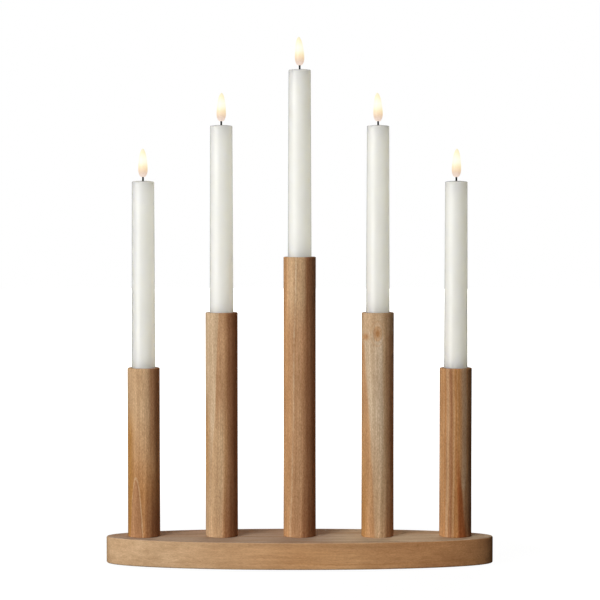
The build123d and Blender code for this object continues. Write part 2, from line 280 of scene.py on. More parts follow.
def washed(tree, colour, tone, strength, *masks):
    """A tone laid over a colour where all its masks are open."""
    share = strength
    for mask in masks:
        share = worked_out(tree, "MULTIPLY", share, mask)
    return blended(tree, share, colour, tone)


def tinted(tree, share, colour, tint):
    """A colour darkened by a tint, as far as a share lets it."""
    return blended(tree, share, colour, blended(tree, 1.0, colour, tint, "MULTIPLY"))


def mottled(tree, colour, noise, strength):
    """A colour made darker and lighter by a noise. Green and blue change more, so darks turn browner."""
    darkest = tuple(1 - strength * lean for lean in MOTTLE_LEAN) + (1,)
    lightest = tuple(1 + strength * lean for lean in MOTTLE_LEAN) + (1,)
    tint = ramp(tree, noise, [(NOISE_LOW, darkest), (NOISE_HIGH, lightest)])
    return blended(tree, 1.0, colour, tint, "MULTIPLY")


def roughened(tree, shader, noise, at_low, at_high):
    """Roughness that follows a noise."""
    roughness = rescaled(tree, noise, NOISE_LOW, NOISE_HIGH, at_low, at_high)
    tree.links.new(roughness, shader.inputs["Roughness"])


def bumped(tree, shader, height, strength, depth):
    """Small relief that follows a height texture."""
    inputs = {"Height": height, "Strength": strength, "Distance": depth}
    bump = shader_node(tree, "ShaderNodeBump", inputs)
    tree.links.new(bump.outputs["Normal"], shader.inputs["Normal"])


def wood(name, origin, bands, figure, sway, streaks, fibres, flecks, along_x=False):
    """Oiled hardwood. Bands of colour, in millimetres across the piece, wander along its fibres under clouds,
    streaks, fine fibres, flecks and pores. A figure function adds marks of the piece's own."""
    material, tree, shader = new_material(name)
    spot = turned_fibres(tree, in_millimetres(tree, origin), along_x)
    drift = stretched_noise(tree, spot, DRIFT_SCALE, detail=2.0, output="Color")
    drift = vectors(tree, "SUBTRACT", drift, (0.5,) * 3)
    bent = vectors(tree, "ADD", spot, vectors(tree, "MULTIPLY", drift, (2 * sway,) * 3))
    across = split(tree, bent)[0]
    first, last = bands[0][0], bands[-1][0]
    stops = [((position - first) / (last - first), tone) for position, tone in bands]
    colour = ramp(tree, rising(tree, across, first, last), stops, "EASE")
    colour = figure(tree, bent, colour)
    colour = mottled(tree, colour, stretched_noise(tree, bent, CLOUD_SCALE, detail=2.0), CLOUDS)
    colour = mottled(tree, colour, stretched_noise(tree, bent, STREAK_SCALE, detail=3.0), streaks)
    fibre = stretched_noise(tree, bent, FIBRE_SCALE, detail=4.0)
    colour = mottled(tree, colour, fibre, fibres)
    fleck = stretched_noise(tree, spot, FLECK_SCALE, detail=4.0)
    colour = mottled(tree, colour, fleck, flecks)
    pore = rescaled(tree, stretched_noise(tree, bent, PORE_SCALE, detail=2.0), *PORE_EDGE, 0.0, PORES)
    colour = tinted(tree, pore, colour, PORE_TINT)
    normal = turned_fibres(tree, coordinates(tree, "Normal"), along_x)
    facing = worked_out(tree, "ABSOLUTE", split(tree, normal)[2])
    colour = tinted(tree, rising(tree, facing, *END_GRAIN_EDGE), colour, END_GRAIN_TINT)
    tree.links.new(colour, shader.inputs["Base Color"])
    roughened(tree, shader, fibre, *WOOD_ROUGHNESS)
    shader.inputs["Specular IOR Level"].default_value = WOOD_GLOSS
    relief = worked_out(tree, "SUBTRACT", worked_out(tree, "ADD", fibre, fleck), pore)
    bumped(tree, shader, relief, RELIEF_STRENGTH, RELIEF_DEPTH)
    return material


def board_figure(tree, spot, colour):
    """Paler at the left end, darker and redder at the right, and one amber line low on the front.
    The top is washed darker and greyer all over, as painted shade and a painted sheen. It has brown streaks,
    a blond right half that is painted light, and a darker back."""
    height, through, along = split(tree, spot)
    colour = washed(tree, colour, STRAW, 0.95, falling(tree, along, -130.0, 0.0))
    colour = washed(tree, colour, CHESTNUT, 0.95, rising(tree, along, 50.0, 125.0))
    line = near(tree, height, 5.5, 0.3, 1.1)
    colour = washed(tree, colour, AMBER, 0.4, line, rising(tree, along, -30.0, 20.0))
    upward = split(tree, coordinates(tree, "Normal"))[2]
    top = rising(tree, upward, 0.5, 0.9)
    # Painted shade and painted sheen: the whole top is washed darker and greyer, standing in for its weaker
    # light and a grey grazing reflection.
    colour = washed(tree, colour, PAINTED_TOP_SHADE_AND_SHEEN, 0.95, top)
    # Painted light: blond lightens the right half of the top, standing in for light that reaches it past the
    # posts.
    colour = washed(tree, colour, BLOND, 0.8, top, rising(tree, along, 20.0, 45.0))
    streak = stretched_noise(tree, spot, TOP_STREAK_SCALE, detail=3.0)
    colour = washed(tree, colour, BROWN, 0.4, top, rising(tree, streak, 0.42, 0.62))
    back = rising(tree, through, -5.0, 42.0)
    return washed(tree, colour, WALNUT, 0.45, top, back, rescaled(tree, along, 20.0, 45.0, 1.0, 0.5))


def settle(piece, body, material, node):
    """Gives a piece its finish and its body, and hides the frame node that it stands for."""
    piece.data.materials.append(material)
    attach(piece, body)
    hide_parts(node)


board_wood = wood(
    "board_oiled_wood",
    origin=(0, 0, BOARD_LOW[2]),
    bands=[(0, CARAMEL), (17, CARAMEL), (22, HONEY), (25, HONEY)],
    figure=board_figure,
    sway=3.0,
    streaks=0.06,
    fibres=0.08,
    flecks=0.08,
    along_x=True,
)
settle(piece_from(board, "oval_board"), "holder", board_wood, "base_board")

# Felt pads: four discs of pressed brown felt under the board.
# They are glued on, so that the board stands steady and marks no table.
FELT_DARK = (0.045, 0.037, 0.030, 1)
FELT_LIGHT = (0.115, 0.096, 0.080, 1)
FELT_SCALE = (3.0, 1.1, 2.0)
FELT_TONE_EDGES = (0.32, 0.68)
FELT_ROUGHNESS = (0.85, 1.0)
FELT_SHEEN = 0.4
FELT_NAP_STRENGTH = 0.7
FELT_NAP_DEPTH = 0.4 * MM


def two_toned(tree, shader, noise, dark, light, low=NOISE_LOW, high=NOISE_HIGH):
    """A base colour that goes from one tone to another with a noise."""
    tree.links.new(ramp(tree, noise, [(low, dark), (high, light)]), shader.inputs["Base Color"])


def pressed_felt():
    """Tangled brown fibres with a soft nap."""
    material, tree, shader = new_material("pressed_felt")
    tangle = stretched_noise(tree, in_millimetres(tree), FELT_SCALE, detail=5.0)
    two_toned(tree, shader, tangle, FELT_DARK, FELT_LIGHT, *FELT_TONE_EDGES)
    roughened(tree, shader, tangle, *FELT_ROUGHNESS)
    shader.inputs["Sheen Weight"].default_value = FELT_SHEEN
    bumped(tree, shader, tangle, FELT_NAP_STRENGTH, FELT_NAP_DEPTH)
    return material


def keep_shape(material, *nodes):
    """Gives frame nodes that are right as they are a finish of their own."""
    for node in nodes:
        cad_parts[node].material_slots[0].material = material


keep_shape(pressed_felt(), "felt_pads")

# Posts: five round dowels of the same hardwood, sanded and oiled, with both ends eased.
# Each is bored for a candle at the top, drilled at the foot, and screwed down from under the board.
POST_EDGE_ROUND = 0.8 * MM
POST_FOOT_ROUND = 0.6 * MM
POST_MARGIN = 0.5 * MM
POST_POINTS = 128
SOCKET_RADIUS = 11.35 * MM
SOCKET_DEPTH = 25 * MM
SOCKET_LEAD_IN = 0.5 * MM
PILOT_RADIUS = 2.35 * MM
PILOT_DEPTH = 25.7 * MM
ARCH_BREAK_SCALE = (0.4, 0.4, 0.15)
LINE_BREAK_SCALE = (0.3, 0.3, 0.12)
STRIPE_SCALE = (0.42, 0.42, 0.0015)
BREAK_EDGES = (0.35, 0.6)
SWIRL_PACE = 2.2

GREYED = (0.609, 0.448, 0.297, 1)
PALE = (0.604, 0.428, 0.268, 1)
TAN = (0.593, 0.38, 0.211, 1)
FAWN = (0.496, 0.277, 0.141, 1)
GOLDEN = (0.477, 0.234, 0.07, 1)
UMBER = (0.38, 0.175, 0.08, 1)
RUSSET = (0.35, 0.105, 0.029, 1)

post_heights = {}
for place in PLACES:
    low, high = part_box(f"{place}_post")
    post_heights[place] = (high[2] - low[2]) / MM


def turned(mesh, outline, x, points):
    """Turns an outline of (radius, height) points round an upright axis. Ends on the axis are closed."""
    rings = [round_ring(x, radius, height, points) for radius, height in outline if radius > 0]
    ends = skin(mesh, rings)
    for end, (radius, height) in zip(ends, (outline[0], outline[-1])):
        if radius == 0:
            pole = mesh.verts.new(Vector((x, 0, height)))
            for side in end:
                mesh.faces.new((*side.verts, pole))


def post_outline(foot, top, radius):
    """From the end of a post's screw hole, down and round its outside, to the floor of its socket."""
    eased_foot = [(radius - inset, foot + rise) for inset, rise in quarter_round(POST_FOOT_ROUND)]
    eased_top = [(radius - inset, top - rise) for inset, rise in reversed(quarter_round(POST_EDGE_ROUND))]
    mouth = SOCKET_RADIUS + SOCKET_LEAD_IN
    return [
        (0, foot + PILOT_DEPTH),
        (PILOT_RADIUS, foot + PILOT_DEPTH),
        (PILOT_RADIUS, foot),
        (radius - POST_FOOT_ROUND - POST_MARGIN, foot),
        *eased_foot,
        (radius, foot + POST_FOOT_ROUND + POST_MARGIN),
        (radius, top - POST_EDGE_ROUND - POST_MARGIN),
        *eased_top,
        (mouth + POST_MARGIN, top),
        (mouth, top),
        (SOCKET_RADIUS, top - SOCKET_LEAD_IN),
        (SOCKET_RADIUS, top - SOCKET_DEPTH),
        (0, top - SOCKET_DEPTH),
    ]


def from_line(tree, spot, foot_x, head_x, height):
    """Signed distance in millimetres from a line that climbs the post, positive to its right."""
    across, _, along = split(tree, spot)
    line = worked_out(tree, "MULTIPLY_ADD", along, (head_x - foot_x) / height, foot_x)
    return worked_out(tree, "SUBTRACT", across, line)


def broken(tree, spot, scale, least):
    """A mask that breaks a line up along its length."""
    return rescaled(tree, stretched_noise(tree, spot, scale, detail=2.0), *BREAK_EDGES, least, 1.0)


def painted_foot_shade(tree, spot, colour):
    """Painted shade: wood darkened low down on its right, where the post's foot lies in shadow."""
    across, _, along = split(tree, spot)
    low = falling(tree, along, 14.0, 62.0)
    colour = washed(tree, colour, UMBER, 0.7, low, rising(tree, across, -2.0, 5.0))
    return washed(tree, colour, WALNUT, 0.95, low, rising(tree, across, 3.5, 10.5))


def arched_figure(tree, spot, colour):
    """Honey wood that deepens downwards, with a pointed arch at the foot where a growth ring runs out."""
    apex_x = -7.4
    apex_height = 55.0
    right_span = 7.8
    left_share = 1.6
    least_slope = 2.0
    across, _, along = split(tree, spot)
    colour = washed(tree, colour, HONEY, 0.85, falling(tree, along, 70.0, 118.0))
    colour = washed(tree, colour, AMBER, 0.85, falling(tree, along, 42.0, 74.0))
    left_strip = near(tree, across, -13.5, 1.5, 4.5)
    colour = washed(tree, colour, GOLDEN, 0.95, left_strip, falling(tree, along, 95.0, 128.0))
    colour = painted_foot_shade(tree, spot, colour)
    side = worked_out(tree, "DIVIDE", worked_out(tree, "SUBTRACT", across, apex_x), right_span)
    side = worked_out(tree, "MAXIMUM", side, worked_out(tree, "MULTIPLY", side, -left_share))
    drop = worked_out(tree, "MULTIPLY", worked_out(tree, "MULTIPLY", side, side), apex_height)
    under = worked_out(tree, "SUBTRACT", worked_out(tree, "SUBTRACT", apex_height, along), drop)
    slope = worked_out(tree, "MULTIPLY_ADD", side, 2 * apex_height / right_span, least_slope)
    inside = worked_out(tree, "DIVIDE", under, slope)
    whole = worked_out(tree, "MAXIMUM", rising(tree, across, -9.0, -7.0), rising(tree, along, 22.0, 40.0))
    colour = washed(tree, colour, BROWN, 0.9, rising(tree, inside, 0.0, 1.0))
    colour = washed(tree, colour, UMBER, 0.55, near(tree, inside, 0.9, 0.2, 0.9), whole)
    line = near(tree, inside, 0.0, 0.2, 0.5)
    return washed(tree, colour, STRAW, 0.95, line, whole, broken(tree, spot, ARCH_BREAK_SCALE, least=0.35))


def pale_edge(tree, spot, colour):
    """Pale sapwood down the left, ending in a crisp line, with flecked brown wood beside its upper half."""
    across, _, along = split(tree, spot)
    distance = from_line(tree, spot, -11.5, -2.8, post_heights["left_inner"])
    upper = rising(tree, along, 95.0, 128.0)
    beside = rising(tree, distance, 0.0, 0.8)
    colour = washed(tree, colour, FAWN, 0.9, beside, upper, falling(tree, across, 1.0, 6.0))
    colour = washed(tree, colour, UMBER, 0.75, upper, rising(tree, across, 3.0, 7.0))
    sapwood = falling(tree, distance, -0.6, 0.0)
    colour = washed(tree, colour, PALE, 0.95, sapwood, rescaled(tree, along, 60.0, 110.0, 0.3, 1.0))
    colour = washed(tree, colour, BLOND, 0.45, near(tree, distance, 0.0, 0.3, 0.6), upper)
    left_strip = near(tree, across, -13.5, 0.5, 2.5)
    colour = washed(tree, colour, GOLDEN, 0.6, left_strip, near(tree, along, 85.0, 25.0, 30.0))
    return painted_foot_shade(tree, spot, colour)


def light_line(tree, spot, colour):
    """One thin pale line that wanders up the post between two growth rings, with beige wood round its top."""
    across, _, along = split(tree, spot)
    beige = near(tree, across, -3.0, 6.0, 3.5)
    colour = washed(tree, colour, TAN, 0.95, beige, rising(tree, along, 190.0, 222.0))
    line = near(tree, from_line(tree, spot, -8.5, -3.5, post_heights["centre"]), 0.0, 0.3, 0.6)
    strength = rescaled(tree, along, 110.0, 230.0, 0.35, 0.9)
    colour = washed(tree, colour, BLOND, strength, line, broken(tree, spot, LINE_BREAK_SCALE, least=0.15))
    return painted_foot_shade(tree, spot, colour)


def length(tree, vector):
    """A vector's length."""
    return shader_node(tree, "ShaderNodeVectorMath", {0: vector}, operation="LENGTH").outputs["Value"]


def blob(tree, spot, middle, shape):
    """Distance from a point in the wood, in millimetres, drawn out by a shape."""
    return length(tree, vectors(tree, "MULTIPLY", vectors(tree, "SUBTRACT", spot, middle), shape))


def sapwood_tongue(tree, spot, colour):
    """A pale grey tongue of sapwood that hangs from a small knot and fades downwards,
    with honey wood at its left."""
    across, _, along = split(tree, spot)
    faded = falling(tree, along, 35.0, 115.0)
    colour = washed(tree, colour, TAN, 0.85, faded, falling(tree, across, 4.0, 8.0))
    colour = washed(tree, colour, TAN, 0.6, rising(tree, along, 186.0, 194.0))
    distance = from_line(tree, spot, -2.0, -13.2, post_heights["right_inner"])
    left = falling(tree, distance, -1.6, 0.4)
    colour = washed(tree, colour, HONEY, 0.9, left, falling(tree, along, 178.0, 188.0))
    far_left = falling(tree, across, -13.0, -8.0)
    colour = washed(tree, colour, GOLDEN, 0.7, left, far_left, falling(tree, along, 30.0, 130.0))
    tongue_edge = near(tree, distance, 2.0, 1.0, 3.0)
    colour = washed(tree, colour, BLOND, 0.5, tongue_edge, near(tree, along, 145.0, 25.0, 25.0))
    knot = blob(tree, spot, middle=(-0.5, -15.0, 189.5), shape=(1.0, 0.6, 0.55))
    side_knot = blob(tree, spot, middle=(-11.5, -9.5, 186.0), shape=(0.8, 0.6, 1.0))
    swirl = worked_out(tree, "SINE", worked_out(tree, "MULTIPLY", knot, SWIRL_PACE))
    colour = washed(tree, colour, HONEY, 0.6, rising(tree, swirl, 0.0, 0.9), falling(tree, knot, 3.0, 9.0))
    colour = washed(tree, colour, AMBER, 0.75, falling(tree, side_knot, 1.5, 4.5))
    colour = washed(tree, colour, AMBER, 0.85, falling(tree, knot, 1.4, 4.2))
    colour = washed(tree, colour, UMBER, 0.6, falling(tree, knot, 0.4, 1.8))
    # Painted shade: umber darkens the foot's right side, where the post lies in shadow.
    low = falling(tree, along, 6.0, 45.0)
    return washed(tree, colour, UMBER, 0.8, low, rising(tree, across, 6.0, 12.0))


def red_stripes(tree, spot, colour):
    """Straight stripes, with a grey brown wedge at the right that ends in a point,
    and a red streak that widens downwards."""
    post_height = post_heights["right_outer"]
    across, _, along = split(tree, spot)
    stripe = stretched_noise(tree, spot, STRIPE_SCALE, detail=1.0)
    colour = washed(tree, colour, AMBER, 0.35, rising(tree, stripe, 0.52, 0.62))
    colour = washed(tree, colour, TAN, 0.25, falling(tree, stripe, 0.38, 0.46))
    edge = worked_out(tree, "SUBTRACT", rescaled(tree, along, 44.0, 115.0, 8.4, 17.0), across)
    colour = washed(tree, colour, BROWN, 0.6, falling(tree, edge, -0.8, 0.4))
    wedge = near(tree, across, 6.8, 1.6, 1.4)
    above_point = rising(tree, along, 43.0, 47.0)
    colour = washed(tree, colour, GREYED, 0.32, wedge, rising(tree, edge, -0.4, 0.8), above_point)
    pale_line = from_line(tree, spot, -8.2, -8.0, post_height)
    colour = washed(tree, colour, TAN, 0.6, near(tree, pale_line, 0.0, 0.3, 0.8))
    spread = rescaled(tree, along, 0.0, 75.0, 4.2, 1.2)
    streak = worked_out(tree, "DIVIDE", from_line(tree, spot, 6.3, -5.7, post_height), spread)
    streak_end = falling(tree, along, 45.0, 92.0)
    colour = washed(tree, colour, RUSSET, 0.95, near(tree, streak, 0.0, 0.6, 0.7), streak_end)
    # Painted shade: walnut darkens the foot's right side, where the post lies in shadow.
    low = falling(tree, along, 8.0, 40.0)
    colour = washed(tree, colour, WALNUT, 0.7, low, rising(tree, across, 8.0, 13.0))
    amber_line = from_line(tree, spot, -11.0, -10.4, post_height)
    return washed(tree, colour, AMBER, 0.7, near(tree, amber_line, 0.0, 0.3, 0.7))


# Each post's bands of colour from left to right, in millimetres from its axis, and its figure.
# The browns and umbers that darken every post towards its right are painted shade on the side turned from the
# key light.
POST_LOOKS = {
    "left_outer": (
        [(-15, TAN), (4, TAN), (8, BROWN), (15, UMBER)],
        arched_figure,
    ),
    "left_inner": (
        [(-15, TAN), (0, TAN), (3.5, HONEY), (6.5, BROWN), (9, UMBER), (15, UMBER)],
        pale_edge,
    ),
    "centre": (
        [(-15, HONEY), (-11, HONEY), (-7, FAWN), (-1, FAWN), (3, BROWN), (7, UMBER), (15, UMBER)],
        light_line,
    ),
    "right_inner": (
        [(-15, PALE), (-8, GREYED), (3, GREYED), (5.5, TAN), (8.5, FAWN), (15, BROWN)],
        sapwood_tongue,
    ),
    "right_outer": (
        [
            (-15, HONEY),
            (-10.5, HONEY),
            (-9.3, FAWN),
            (-7.5, BROWN),
            (-5.2, UMBER),
            (-3.2, HONEY),
            (-1.0, AMBER),
            (3.6, AMBER),
            (5.2, FAWN),
            (8.0, FAWN),
            (10.0, CHESTNUT),
            (15, CHESTNUT),
        ],
        red_stripes,
    ),
}
for place in PLACES:
    low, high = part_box(f"{place}_post")
    post = bmesh.new()
    turned(post, post_outline(low[2], high[2], (high[0] - low[0]) / 2), post_spots[place], POST_POINTS)
    bands, figure = POST_LOOKS[place]
    post_wood = wood(
        f"{place}_post_oiled_wood",
        origin=(post_spots[place], 0, low[2]),
        bands=bands,
        figure=figure,
        sway=1.8,
        streaks=0.13,
        fibres=0.11,
        flecks=0.17,
    )
    settle(piece_from(post, f"{place}_dowel"), "holder", post_wood, f"{place}_post")

# Screws: five countersunk wood screws of zinc plated steel.
# They are driven up through the board and hold the posts.
ZINC_DULL = (0.56, 0.54, 0.46, 1)
ZINC_BRIGHT = (0.74, 0.71, 0.61, 1)
ZINC_ROUGHNESS = (0.45, 0.28)
PLATE_SCALE = (0.6, 0.6, 0.6)


def plated_metal(name, dull, bright, roughness):
    """Plated metal, a little duller in patches."""
    material, tree, shader = new_material(name)
    patch = stretched_noise(tree, in_millimetres(tree), PLATE_SCALE, detail=4.0)
    two_toned(tree, shader, patch, dull, bright)
    roughened(tree, shader, patch, *roughness)
    shader.inputs["Metallic"].default_value = 1.0
    return material


keep_shape(plated_metal("zinc_plate", ZINC_DULL, ZINC_BRIGHT, ZINC_ROUGHNESS), "post_screws")

# Candle cores: white moulded plastic tubes, one under the wax of each candle.
# A core holds the cells and the circuit board, and the end cap twists into its foot.
CORE_SHADE = (0.76, 0.75, 0.70, 1)
CORE_LIGHT = (0.83, 0.82, 0.77, 1)
CORE_ROUGHNESS = (0.38, 0.48)
MOULD_CLOUD_SCALE = (0.15, 0.15, 0.15)
MOULD_ETCH_SCALE = (4.0, 4.0, 4.0)
MOULD_ETCH_STRENGTH = 0.25
MOULD_ETCH_DEPTH = 0.05 * MM


def moulded_plastic(name, shade, light, roughness):
    """Moulded plastic with the fine etched texture of its mould."""
    material, tree, shader = new_material(name)
    spot = in_millimetres(tree)
    two_toned(tree, shader, stretched_noise(tree, spot, MOULD_CLOUD_SCALE, detail=3.0), shade, light)
    etch = stretched_noise(tree, spot, MOULD_ETCH_SCALE, detail=2.0)
    roughened(tree, shader, etch, *roughness)
    bumped(tree, shader, etch, MOULD_ETCH_STRENGTH, MOULD_ETCH_DEPTH)
    return material


def in_every_candle(piece):
    """The five candles' nodes of one piece."""
    return [f"{place}_candle_{piece}" for place in PLACES]


core_plastic = moulded_plastic("core_plastic", CORE_SHADE, CORE_LIGHT, CORE_ROUGHNESS)
keep_shape(core_plastic, *in_every_candle("core"))

# Cells: two AAA cells in each core, one on top of the other.
# They are steel cans in dark sleeves, with a grey band at the plus end.
STEEL = (0.62, 0.61, 0.58, 1)
GRAPHITE = (0.018, 0.020, 0.024, 1)
BAND_GREY = (0.38, 0.40, 0.43, 1)
BAND_SHINE = 0.6
CELL_COUNT = 2
SLEEVE_FOOT = 0.03
BAND_FOOT = 0.78
BAND_TOP = 0.955
SCUFF_SCALE = (0.8, 0.8, 0.2)
SCUFFS = 0.08
CELL_ROUGHNESS = (0.25, 0.42)


def cell_sleeves():
    """Bare steel ends, a dark sleeve and its band, in shares of a cell's height."""
    material, tree, shader = new_material("cell_sleeves")
    height = split(tree, coordinates(tree, "Generated"))[2]
    share = worked_out(tree, "FRACT", worked_out(tree, "MULTIPLY", height, CELL_COUNT))
    tones = [(0.0, STEEL), (SLEEVE_FOOT, GRAPHITE), (BAND_FOOT, BAND_GREY), (BAND_TOP, STEEL)]
    shine = [(0.0, 1.0), (SLEEVE_FOOT, 0.0), (BAND_FOOT, BAND_SHINE), (BAND_TOP, 1.0)]
    scuff = stretched_noise(tree, in_millimetres(tree), SCUFF_SCALE, detail=4.0)
    colour = mottled(tree, ramp(tree, share, tones, "CONSTANT"), scuff, SCUFFS)
    tree.links.new(colour, shader.inputs["Base Color"])
    tree.links.new(ramp(tree, share, shine, "CONSTANT"), shader.inputs["Metallic"])
    roughened(tree, shader, scuff, *CELL_ROUGHNESS)
    return material


keep_shape(cell_sleeves(), *in_every_candle("batteries"))

# Circuit boards: green masked boards with fine traces and a black chip, above the cells.
# A metal contact disc presses on the upper cell, and a soldered strip runs down to the end cap.
CONTACT_TOP = 0.766
TAB_TOP = 0.78
TAB_FRONT = 0.55
CHIP_BACK = 0.395
TRACE_SPACING = 0.55
TRACE_HALF_WIDTH = 0.10
TRACE_FADE = 0.05
MASK_GREEN = (0.012, 0.105, 0.040, 1)
TRACE_GREEN = (0.035, 0.200, 0.085, 1)
CHIP_BLACK = (0.014, 0.014, 0.015, 1)
TINNED = (0.68, 0.66, 0.61, 1)
GRIME_SCALE = (0.9, 0.9, 0.9)
GRIME = 0.07
CIRCUIT_ROUGHNESS = (0.28, 0.45)


def circuit_finish():
    """Solder mask, chip and bare metal, told apart by shares of the node's depth and height."""
    material, tree, shader = new_material("circuit_board")
    _, depth, height = split(tree, coordinates(tree, "Generated"))
    below = worked_out(tree, "LESS_THAN", height, TAB_TOP)
    tab = worked_out(tree, "MULTIPLY", below, worked_out(tree, "GREATER_THAN", depth, TAB_FRONT))
    metal = worked_out(tree, "MAXIMUM", worked_out(tree, "LESS_THAN", height, CONTACT_TOP), tab)
    above = worked_out(tree, "GREATER_THAN", height, TAB_TOP)
    chip = worked_out(tree, "MULTIPLY", worked_out(tree, "LESS_THAN", depth, CHIP_BACK), above)
    spot = in_millimetres(tree)
    trace = worked_out(tree, "PINGPONG", split(tree, spot)[0], TRACE_SPACING)
    traced = near(tree, trace, 0.0, TRACE_HALF_WIDTH, TRACE_FADE)
    colour = blended(tree, traced, MASK_GREEN, TRACE_GREEN)
    colour = blended(tree, chip, colour, CHIP_BLACK)
    grime = stretched_noise(tree, spot, GRIME_SCALE, detail=4.0)
    colour = mottled(tree, blended(tree, metal, colour, TINNED), grime, GRIME)
    tree.links.new(colour, shader.inputs["Base Color"])
    tree.links.new(metal, shader.inputs["Metallic"])
    roughened(tree, shader, grime, *CIRCUIT_ROUGHNESS)
    return material


keep_shape(circuit_finish(), *in_every_candle("circuit_board"))

# Diodes: one warm white diode with a clear epoxy dome inside each flame.
# It stands on a tinned lead that climbs from the circuit board through the wick.
DOME_FOOT = 0.939
DOME_GLOW = 0.5
EPOXY = (0.90, 0.80, 0.56, 1)
HAZE_SCALE = (1.5, 1.5, 0.5)
HAZE = 0.06
DIODE_ROUGHNESS = (0.12, 0.30)


def diode_finish():
    """A tinned lead with a glowing dome at its top."""
    material, tree, shader = new_material("diode")
    height = split(tree, coordinates(tree, "Generated"))[2]
    dome = worked_out(tree, "GREATER_THAN", height, DOME_FOOT)
    haze = stretched_noise(tree, in_millimetres(tree), HAZE_SCALE, detail=3.0)
    colour = mottled(tree, blended(tree, dome, TINNED, EPOXY), haze, HAZE)
    tree.links.new(colour, shader.inputs["Base Color"])
    tree.links.new(worked_out(tree, "SUBTRACT", 1.0, dome), shader.inputs["Metallic"])
    roughened(tree, shader, haze, *DIODE_ROUGHNESS)
    tree.links.new(colour, shader.inputs["Emission Color"])
    tree.links.new(worked_out(tree, "MULTIPLY", dome, DOME_GLOW), shader.inputs["Emission Strength"])
    return material


keep_shape(diode_finish(), *in_every_candle("led"))

# Contact springs: strips of nickel plated metal, bent to a bow.
# One lies on the floor of each end cap, under the lower cell.
NICKEL_DULL = (0.58, 0.53, 0.44, 1)
NICKEL_BRIGHT = (0.75, 0.70, 0.60, 1)
NICKEL_ROUGHNESS = (0.36, 0.22)
nickel_plate = plated_metal("nickel_plate", NICKEL_DULL, NICKEL_BRIGHT, NICKEL_ROUGHNESS)
keep_shape(nickel_plate, *in_every_candle("contact_spring"))

# End caps and switches: ivory plastic caps with a fluted grip, which twist into the foot of each candle.
# A small black slide switch comes through the floor of each cap.
CAP_SHADE = (0.73, 0.72, 0.66, 1)
CAP_LIGHT = (0.80, 0.79, 0.73, 1)
CAP_ROUGHNESS = (0.42, 0.55)
SWITCH_SHADE = (0.022, 0.022, 0.023, 1)
SWITCH_LIGHT = (0.042, 0.042, 0.043, 1)
SWITCH_ROUGHNESS = (0.45, 0.60)
cap_plastic = moulded_plastic("cap_plastic", CAP_SHADE, CAP_LIGHT, CAP_ROUGHNESS)
keep_shape(cap_plastic, *in_every_candle("end_cap"))
switch_plastic = moulded_plastic("switch_plastic", SWITCH_SHADE, SWITCH_LIGHT, SWITCH_ROUGHNESS)
keep_shape(switch_plastic, *in_every_candle("switch_knob"))

# Wax: a thin ivory shell cast over each candle's core, tapering to a softly domed top.
# It is smooth with a soft sheen, and lets some light through.
# Its mesh is a closed form, because light that scatters under a surface needs one.
WAX_FOOT_RADIUS = 11.0 * MM
WAX_TOP_RADIUS = 10.3 * MM
WAX_FOOT_MARGIN = 0.3 * MM
WAX_EDGE_ROUND = 0.9 * MM
WAX_DOME = 0.7 * MM
WAX_DOME_STEPS = 8
WAX_ROWS = 90
WAX_POINTS = 96
WAX_SHADE = (0.85, 0.85, 0.785, 1)
WAX_LIGHT = (0.86, 0.862, 0.80, 1)
WAX_CLOUD_SCALE = (0.045, 0.045, 0.045)
WAX_ROUGHNESS = (0.20, 0.205)
WAX_SCATTER = (1.0, 0.96, 0.82)
WAX_SCATTER_DEPTH = 58 * MM
WAX_IOR = 1.44
WAX_GLOSS = 0.2
SHEEN_WEIGHT = 0.9
SHEEN_ROUGHNESS = 0.04
SHEEN_IOR = 1.7


def wax_material():
    """Ivory wax that scatters light deep inside, under a smooth sheen."""
    material, tree, shader = new_material("ivory_wax")
    cloud = stretched_noise(tree, in_millimetres(tree), WAX_CLOUD_SCALE, detail=3.0)
    two_toned(tree, shader, cloud, WAX_SHADE, WAX_LIGHT)
    roughened(tree, shader, cloud, *WAX_ROUGHNESS)
    shader.inputs["Subsurface Weight"].default_value = 1.0
    shader.inputs["Subsurface Radius"].default_value = WAX_SCATTER
    shader.inputs["Subsurface Scale"].default_value = WAX_SCATTER_DEPTH
    shader.inputs["IOR"].default_value = WAX_IOR
    shader.inputs["Specular IOR Level"].default_value = WAX_GLOSS
    shader.inputs["Coat Weight"].default_value = SHEEN_WEIGHT
    shader.inputs["Coat Roughness"].default_value = SHEEN_ROUGHNESS
    shader.inputs["Coat IOR"].default_value = SHEEN_IOR
    return material


def wax_outline(foot, top):
    """From the middle of a candle's foot, up its tapering side and round its shoulder, to its dome's top."""
    shoulder = top - WAX_DOME
    side_height = shoulder - WAX_EDGE_ROUND - foot
    outline = [(0, foot), (WAX_FOOT_RADIUS - WAX_FOOT_MARGIN, foot)]
    for row in range(WAX_ROWS):
        share = row / WAX_ROWS
        radius = WAX_FOOT_RADIUS + (WAX_TOP_RADIUS - WAX_FOOT_RADIUS) * share
        outline.append((radius, foot + side_height * share))
    for inset, rise in reversed(quarter_round(WAX_EDGE_ROUND)):
        outline.append((WAX_TOP_RADIUS - inset, shoulder - rise))
    for step in range(1, WAX_DOME_STEPS):
        reach = 1 - step / WAX_DOME_STEPS
        outline.append(((WAX_TOP_RADIUS - WAX_EDGE_ROUND) * reach, shoulder + WAX_DOME * (1 - reach**2)))
    return outline + [(0, top)]


ivory_wax = wax_material()
for place in PLACES:
    low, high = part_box(f"{place}_candle_wax")
    candle = bmesh.new()
    turned(candle, wax_outline(low[2], high[2]), post_spots[place], WAX_POINTS)
    shell = piece_from(candle, f"{place}_wax_shell")
    settle(shell, f"{place}_candle", ivory_wax, f"{place}_candle_wax")

